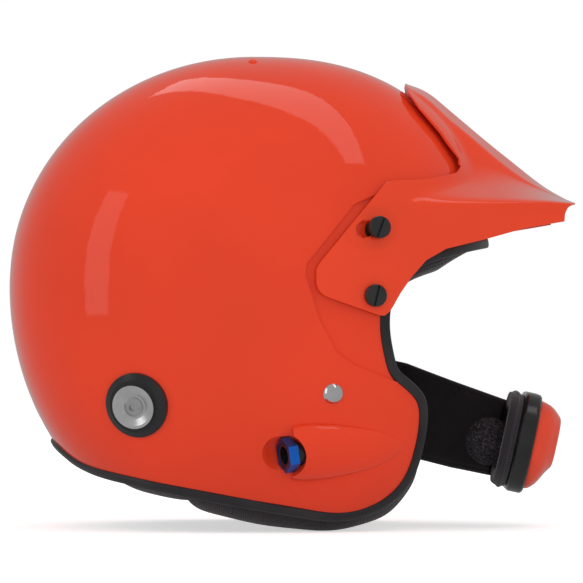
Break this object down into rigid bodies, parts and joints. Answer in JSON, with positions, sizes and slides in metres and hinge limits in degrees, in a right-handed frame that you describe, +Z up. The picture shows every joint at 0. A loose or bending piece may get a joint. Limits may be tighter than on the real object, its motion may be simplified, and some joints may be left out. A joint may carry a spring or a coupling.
{
  "type": "open face rally helmet",
  "caption": "Open-face motorsport helmet with a tilting peak, padded liner, ear cups, tether anchors, an intercom socket and a microphone boom with a mouthpiece.",
  "frame": {"origin": "centre of the bounding box's footprint, at the lowest padding", "axes": "+X forward (the way the wearer looks), +Y the wearer's left, +Z up"},
  "size_m": [0.3381, 0.252, 0.2814],
  "materials": {
    "shell_paint": "gloss, clear coated",
    "peak_paint": "gloss",
    "trim_rubber": "satin",
    "foam_liner": "matt beaded foam",
    "lining_fabric": "brushed knit",
    "pad_fabric": "brushed knit",
    "screw_plastic": "satin",
    "insert_brass": "machined",
    "ring_plastic": "satin",
    "disc_aluminium": "turned",
    "screw_steel": "satin",
    "plate_steel": "zinc plated",
    "nut_anodised": "anodised",
    "socket_plastic": "satin",
    "contact_brass": "plated",
    "rivet_steel": "polished",
    "strap_webbing": "woven",
    "cup_plastic": "satin",
    "cushion_leather": "soft",
    "speaker_plastic": "matt",
    "base_plastic": "satin",
    "pin_steel": "turned",
    "arm_fabric": "knit",
    "arm_plastic": "satin",
    "gasket_rubber": "gloss",
    "cover_plastic": "gloss",
    "capsule_steel": "satin",
    "bracket_plastic": "satin",
    "windscreen_foam": "open cell"
  },
  "bodies": {
    "helmet": {"outer_shell": "shell_paint", "edge_trim": "trim_rubber", "crown_liner": "foam_liner", "cheek_liner_right": "foam_liner", "cheek_liner_left": "foam_liner", "comfort_liner": "lining_fabric", "brow_pad": "pad_fabric", "cheek_pad_right": "pad_fabric", "cheek_pad_left": "pad_fabric", "neck_roll": "pad_fabric", "pivot_screws": "screw_plastic", "slot_screws": "screw_plastic", "screw_inserts": "insert_brass", "anchor_rings": "ring_plastic", "anchor_discs": "disc_aluminium", "anchor_screws": "screw_steel", "anchor_plates": "plate_steel", "port_nut": "nut_anodised", "socket_body": "socket_plastic", "socket_contacts": "contact_brass", "strap_rivets": "rivet_steel", "rivet_washers": "plate_steel", "chin_strap_right": "strap_webbing", "chin_strap_left": "strap_webbing", "ear_cups": "cup_plastic", "ear_cushions": "cushion_leather", "speakers": "speaker_plastic", "boom_base": "base_plastic", "boom_pin": "pin_steel"},
    "visor_peak": {"peak": "peak_paint"},
    "boom": {"arm_cover": "arm_fabric", "boom_arm": "arm_plastic", "mouthpiece_gasket": "gasket_rubber", "mouthpiece_pad": "pad_fabric", "mouthpiece_cover": "cover_plastic", "microphone_capsule": "capsule_steel", "microphone_bracket": "bracket_plastic", "microphone_foam": "windscreen_foam"}
  },
  "joints": [
    {"name": "peak_tilt", "type": "hinge", "parent": "helmet", "child": "visor_peak", "pos_m": [0.0482, 0, 0.1384], "axis": [0, 1, 0], "range_deg": [0, 10]},
    {"name": "boom_tilt", "type": "hinge", "parent": "helmet", "child": "boom", "pos_m": [0.05, 0, 0.068], "axis": [0, 1, 0], "range_deg": [-15, 8]}
  ]
}
